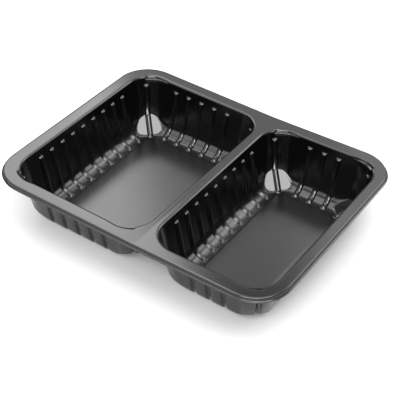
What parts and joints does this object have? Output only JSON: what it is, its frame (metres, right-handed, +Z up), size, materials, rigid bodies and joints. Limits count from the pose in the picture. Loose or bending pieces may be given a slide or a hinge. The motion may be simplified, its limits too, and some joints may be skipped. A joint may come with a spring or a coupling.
{
  "type": "two-compartment food tray",
  "caption": "Shallow rectangular food tray of thin formed plastic, parted by a divider into a large and a small compartment with ribbed walls and a flanged rim.",
  "frame": {"origin": "on the base plane, below the middle of the rim", "axes": "+X runs along the tray's length, from the large compartment to the small one; +Y runs across it; +Z is up, out of the compartments"},
  "size_m": [0.227, 0.1778, 0.0422],
  "materials": {
    "tray": "glossy black formed sheet, satin on the floors"
  },
  "bodies": {
    "root": {"tray": "tray"}
  },
  "joints": []
}
